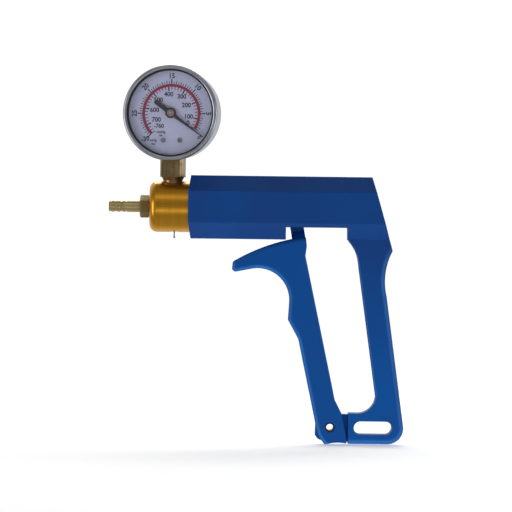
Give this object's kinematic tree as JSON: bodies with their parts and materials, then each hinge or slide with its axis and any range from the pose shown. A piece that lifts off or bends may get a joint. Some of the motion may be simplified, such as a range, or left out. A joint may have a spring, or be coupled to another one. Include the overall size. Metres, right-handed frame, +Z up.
{
  "type": "hand vacuum pump",
  "caption": "Pistol-grip hand vacuum pump: squeezing the trigger draws a piston back, a dial gauge shows the vacuum at the barbed hose tail, and a pin under the head releases it.",
  "frame": {"origin": "on the cylinder axis, where the hose tail meets its hexagon", "axes": "+X along the cylinder from the hose tail to the rear, +Z up to the gauge, the gauge faces -Y"},
  "size_m": [0.1928, 0.041, 0.2448],
  "materials": {
    "blue_paint": "gloss paint on a smooth casting",
    "trigger_paint": "gloss paint on a smooth casting",
    "gold_anodising": "satin gold anodising, turned",
    "bright_aluminium": "honed",
    "black_rubber": "matte",
    "black_steel": "blackened",
    "white_acetal": "machined",
    "spring_steel": "drawn wire",
    "brass_fitting": "turned, slightly dull",
    "gauge_brass": "turned",
    "movement_brass": "stamped",
    "bright_steel": "ground",
    "gauge_steel": "satin",
    "clear_lens": "clear, polished",
    "dial_white": "matte print",
    "pointer_black": "matte"
  },
  "bodies": {
    "frame": {"bourdon_tip": "gauge_brass", "bourdon_tube": "gauge_brass", "cylinder_head": "gold_anodising", "cylinder_set_screw": "black_steel", "cylinder_tube": "bright_aluminium", "dial_posts": "movement_brass", "dial_screws": "black_steel", "frame_casting": "blue_paint", "gauge_bezel": "gauge_steel", "gauge_case": "gauge_steel", "gauge_dial": "dial_white", "gauge_gasket": "black_rubber", "gauge_lens": "clear_lens", "gauge_socket": "gauge_brass", "guide_retaining_ring": "spring_steel", "head_o_ring": "black_rubber", "hose_barb": "brass_fitting", "inlet_check_valve": "black_rubber", "inlet_valve_plate": "white_acetal", "movement_front_plate": "movement_brass", "movement_pillars": "movement_brass", "movement_rear_plate": "movement_brass", "movement_screws": "bright_steel", "pivot_pin": "black_steel", "release_valve_bush": "brass_fitting", "release_valve_spring": "spring_steel", "return_spring": "spring_steel", "rod_guide": "white_acetal"},
    "trigger": {"trigger_lever": "trigger_paint"},
    "piston": {"piston_body": "white_acetal", "piston_cup_seal": "black_rubber", "piston_washer": "bright_steel", "piston_screw": "bright_steel", "piston_rod": "bright_steel", "cross_pin": "bright_steel"},
    "release": {"release_pin": "bright_steel", "release_seal": "black_rubber"},
    "sector": {"sector_gear": "movement_brass"},
    "link": {"movement_link": "movement_brass"},
    "pointer": {"gauge_pointer": "pointer_black", "pointer_boss": "pointer_black", "pointer_cap": "movement_brass", "pinion_arbor": "movement_brass"}
  },
  "joints": [
    {"name": "trigger_pivot", "type": "hinge", "parent": "frame", "child": "trigger", "pos_m": [0.1249, 0, -0.1418], "axis": [0, 1, 0], "range_deg": [0, 12], "stiffness_Nm_per_rad": 7, "springref_deg": -9.17},
    {"name": "piston_slide", "type": "slide", "parent": "frame", "child": "piston", "axis": [1, 0, 0], "range_m": [0, 0.0302], "deforming": ["return_spring"]},
    {"name": "release_push", "type": "slide", "parent": "frame", "child": "release", "axis": [0, 0, 1], "range_m": [0, 0.0015], "stiffness_N_per_m": 600, "springref_m": -0.001, "deforming": ["release_valve_spring"]},
    {"name": "sector_turn", "type": "hinge", "parent": "frame", "child": "sector", "pos_m": [0.0212, 0, 0.048], "axis": [0.1564, 0.9877, 0], "range_deg": [0, 43.5], "stiffness_Nm_per_rad": 0.0015},
    {"name": "link_pivot", "type": "hinge", "parent": "sector", "child": "link", "pos_m": [0.0212, 0, 0.0438], "axis": [-0.1564, -0.9877, 0], "range_deg": [0, 43.6]},
    {"name": "pointer_spin", "type": "hinge", "parent": "frame", "child": "pointer", "pos_m": [0.0212, 0, 0.0606], "axis": [-0.1564, -0.9877, 0], "range_deg": [0, 261.2]}
  ],
  "couplings": [
    {"joint": "piston_slide", "follows": "trigger_pivot", "m_per_rad": 0.14294},
    {"joint": "pointer_spin", "follows": "sector_turn", "ratio": 6},
    {"joint": "link_pivot", "follows": "sector_turn", "ratio": 1}
  ]
}
